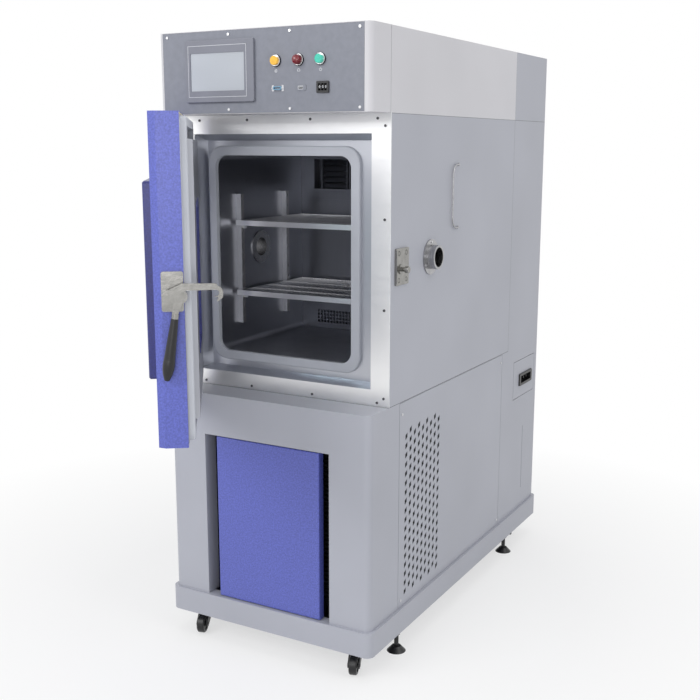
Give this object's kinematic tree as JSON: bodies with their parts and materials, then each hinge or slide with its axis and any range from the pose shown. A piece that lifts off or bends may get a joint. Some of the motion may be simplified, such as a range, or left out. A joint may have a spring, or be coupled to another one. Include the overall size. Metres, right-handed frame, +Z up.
{
  "type": "environmental test chamber",
  "caption": "Upright climatic test chamber with a latched hinged door, window, wire shelves, side ports, control hood, vented machine base, castors and levelling feet",
  "frame": {"origin": "centre of the bounding box on the floor, with the main door ajar", "axes": "+X to the cabinet's right as seen from the front, +Y from the front to the back, +Z up"},
  "size_m": [0.646, 1.6618, 1.573],
  "materials": {
    "cabinet_grey": "satin grey powder coat",
    "fascia_grey": "satin dark grey panel",
    "bright_steel": "brushed stainless steel",
    "blue_paint": "textured mid-blue paint",
    "dark_blue_paint": "dark blue paint",
    "grey_silicone": "matt pale grey silicone",
    "foam": "rigid foam",
    "cast_metal": "bright cast metal",
    "black_plastic": "black moulded plastic",
    "bezel_plastic": "dark grey moulded bezel",
    "screen_glass": "pale unlit touch film",
    "window_glass": "clear insulating glass",
    "collar_chrome": "polished ring",
    "alarm_red": "dark red ribbed dome",
    "button_yellow": "yellow lens",
    "button_green": "teal green lens",
    "dial_black": "black dial",
    "machine_black": "black painted coil and shroud",
    "motor_grey": "cast aluminium",
    "castor_black": "black castor",
    "foot_black": "black levelling foot"
  },
  "bodies": {
    "cabinet": {"plinth": "cabinet_grey", "lower_cabinet": "cabinet_grey", "side_panels": "cabinet_grey", "rear_housing": "cabinet_grey", "socket_panel": "cabinet_grey", "power_inlet": "black_plastic", "upper_skins": "cabinet_grey", "control_hood": "cabinet_grey", "control_fascia": "fascia_grey", "hmi_bezel": "bezel_plastic", "hmi_screen": "screen_glass", "alarm_dome": "alarm_red", "panel_collars": "collar_chrome", "panel_sockets": "black_plastic", "front_frame": "bright_steel", "opening_seal": "grey_silicone", "chamber_liner": "bright_steel", "insulation_slabs": "foam", "duct_panel": "bright_steel", "shelf_uprights": "bright_steel", "port_tubes": "bright_steel", "striker": "cast_metal", "wire_handle": "bright_steel", "refrigeration_unit": "machine_black", "fan_motors": "motor_grey", "hinge_brackets": "bright_steel", "case_screws": "bright_steel"},
    "door": {"door_shell": "blue_paint", "door_core": "foam", "door_liner": "bright_steel", "door_gasket": "grey_silicone", "window_frame": "dark_blue_paint", "window_panes": "window_glass", "door_hinge_leaves": "bright_steel", "latch_plate": "cast_metal"},
    "latch_lever": {"latch_lever": "cast_metal", "latch_grip": "black_plastic"},
    "latch_hook": {"latch_hook": "cast_metal"},
    "yellow_button": {"yellow_button": "button_yellow"},
    "green_button": {"green_button": "button_green"},
    "thumbwheel_1": {"thumbwheel_1": "dial_black"},
    "thumbwheel_2": {"thumbwheel_2": "dial_black"},
    "thumbwheel_3": {"thumbwheel_3": "dial_black"},
    "shelf_upper": {"shelf_upper": "bright_steel"},
    "shelf_lower": {"shelf_lower": "bright_steel"},
    "service_door": {"service_door": "blue_paint"},
    "blower_wheel": {"blower_wheel": "motor_grey"},
    "condenser_fan": {"condenser_fan": "machine_black"},
    "castor_fork_front_left": {"castor_fork_front_left": "castor_black"},
    "castor_wheel_front_left": {"castor_wheel_front_left": "castor_black"},
    "castor_fork_front_right": {"castor_fork_front_right": "castor_black"},
    "castor_wheel_front_right": {"castor_wheel_front_right": "castor_black"},
    "castor_fork_rear_left": {"castor_fork_rear_left": "castor_black"},
    "castor_wheel_rear_left": {"castor_wheel_rear_left": "castor_black"},
    "castor_fork_rear_right": {"castor_fork_rear_right": "castor_black"},
    "castor_wheel_rear_right": {"castor_wheel_rear_right": "castor_black"},
    "foot_front_left": {"foot_front_left": "foot_black"},
    "foot_front_right": {"foot_front_right": "foot_black"},
    "foot_rear_left": {"foot_rear_left": "foot_black"},
    "foot_rear_right": {"foot_rear_right": "foot_black"}
  },
  "joints": [
    {"name": "door_hinge", "type": "hinge", "parent": "cabinet", "child": "door", "pos_m": [-0.307, -0.34105, 1.028], "axis": [0, 0, -1], "range_deg": [-53.6, 66]},
    {"name": "lever_hinge", "type": "hinge", "parent": "door", "child": "latch_lever", "pos_m": [0.09167, -0.79754, 1.006], "axis": [-0.5934, 0.8049, 0], "range_deg": [0, 110]},
    {"name": "hook_hinge", "type": "hinge", "parent": "latch_lever", "child": "latch_hook", "pos_m": [0.07507, -0.8222, 1.008], "axis": [-0.5934, 0.8049, 0], "range_deg": [-124, 1]},
    {"name": "service_door_hinge", "type": "hinge", "parent": "cabinet", "child": "service_door", "pos_m": [-0.143, -0.35305, 0.35], "axis": [0, 0, -1], "range_deg": [0, 100]},
    {"name": "blower_spin", "type": "hinge", "parent": "cabinet", "child": "blower_wheel", "pos_m": [-0.031, 0.27495, 1.1], "axis": [0, 1, 0], "continuous": true},
    {"name": "condenser_fan_spin", "type": "hinge", "parent": "cabinet", "child": "condenser_fan", "pos_m": [-0.001, -0.19905, 0.352], "axis": [0, 1, 0], "continuous": true},
    {"name": "yellow_button_press", "type": "slide", "parent": "cabinet", "child": "yellow_button", "axis": [0, 1, 0], "range_m": [0, 0.003], "stiffness_N_per_m": 600},
    {"name": "green_button_press", "type": "slide", "parent": "cabinet", "child": "green_button", "axis": [0, 1, 0], "range_m": [0, 0.003], "stiffness_N_per_m": 600},
    {"name": "thumbwheel_1_spin", "type": "hinge", "parent": "cabinet", "child": "thumbwheel_1", "pos_m": [0.165, -0.35805, 1.435], "axis": [1, 0, 0], "continuous": true},
    {"name": "thumbwheel_2_spin", "type": "hinge", "parent": "cabinet", "child": "thumbwheel_2", "pos_m": [0.173, -0.35805, 1.435], "axis": [1, 0, 0], "continuous": true},
    {"name": "thumbwheel_3_spin", "type": "hinge", "parent": "cabinet", "child": "thumbwheel_3", "pos_m": [0.181, -0.35805, 1.435], "axis": [1, 0, 0], "continuous": true},
    {"name": "shelf_lower_lift", "type": "slide", "parent": "cabinet", "child": "shelf_lower", "axis": [0, 0, 1], "range_m": [0, 0.025]},
    {"name": "shelf_upper_lift", "type": "slide", "parent": "cabinet", "child": "shelf_upper", "axis": [0, 0, 1], "range_m": [0, 0.025]},
    {"name": "castor_swivel_front_left", "type": "hinge", "parent": "cabinet", "child": "castor_fork_front_left", "pos_m": [-0.237, -0.31905, 0.06], "axis": [0, 0, 1], "continuous": true},
    {"name": "castor_roll_front_left", "type": "hinge", "parent": "castor_fork_front_left", "child": "castor_wheel_front_left", "pos_m": [-0.22866, -0.34473, 0.0255], "axis": [0.9511, 0.309, 0], "continuous": true},
    {"name": "castor_swivel_front_right", "type": "hinge", "parent": "cabinet", "child": "castor_fork_front_right", "pos_m": [0.235, -0.31905, 0.06], "axis": [0, 0, 1], "continuous": true},
    {"name": "castor_roll_front_right", "type": "hinge", "parent": "castor_fork_front_right", "child": "castor_wheel_front_right", "pos_m": [0.24334, -0.34473, 0.0255], "axis": [0.9511, 0.309, 0], "continuous": true},
    {"name": "castor_swivel_rear_left", "type": "hinge", "parent": "cabinet", "child": "castor_fork_rear_left", "pos_m": [-0.237, 0.77095, 0.06], "axis": [0, 0, 1], "continuous": true},
    {"name": "castor_roll_rear_left", "type": "hinge", "parent": "castor_fork_rear_left", "child": "castor_wheel_rear_left", "pos_m": [-0.22866, 0.74527, 0.0255], "axis": [0.9511, 0.309, 0], "continuous": true},
    {"name": "castor_swivel_rear_right", "type": "hinge", "parent": "cabinet", "child": "castor_fork_rear_right", "pos_m": [0.235, 0.77095, 0.06], "axis": [0, 0, 1], "continuous": true},
    {"name": "castor_roll_rear_right", "type": "hinge", "parent": "castor_fork_rear_right", "child": "castor_wheel_rear_right", "pos_m": [0.24334, 0.74527, 0.0255], "axis": [0.9511, 0.309, 0], "continuous": true},
    {"name": "foot_front_left_level", "type": "slide", "parent": "cabinet", "child": "foot_front_left", "axis": [0, 0, 1], "range_m": [-0.01, 0.01]},
    {"name": "foot_front_right_level", "type": "slide", "parent": "cabinet", "child": "foot_front_right", "axis": [0, 0, 1], "range_m": [-0.01, 0.01]},
    {"name": "foot_rear_left_level", "type": "slide", "parent": "cabinet", "child": "foot_rear_left", "axis": [0, 0, 1], "range_m": [-0.01, 0.01]},
    {"name": "foot_rear_right_level", "type": "slide", "parent": "cabinet", "child": "foot_rear_right", "axis": [0, 0, 1], "range_m": [-0.01, 0.01]}
  ],
  "couplings": [
    {"joint": "hook_hinge", "follows": "lever_hinge", "ratio": -1.12}
  ]
}
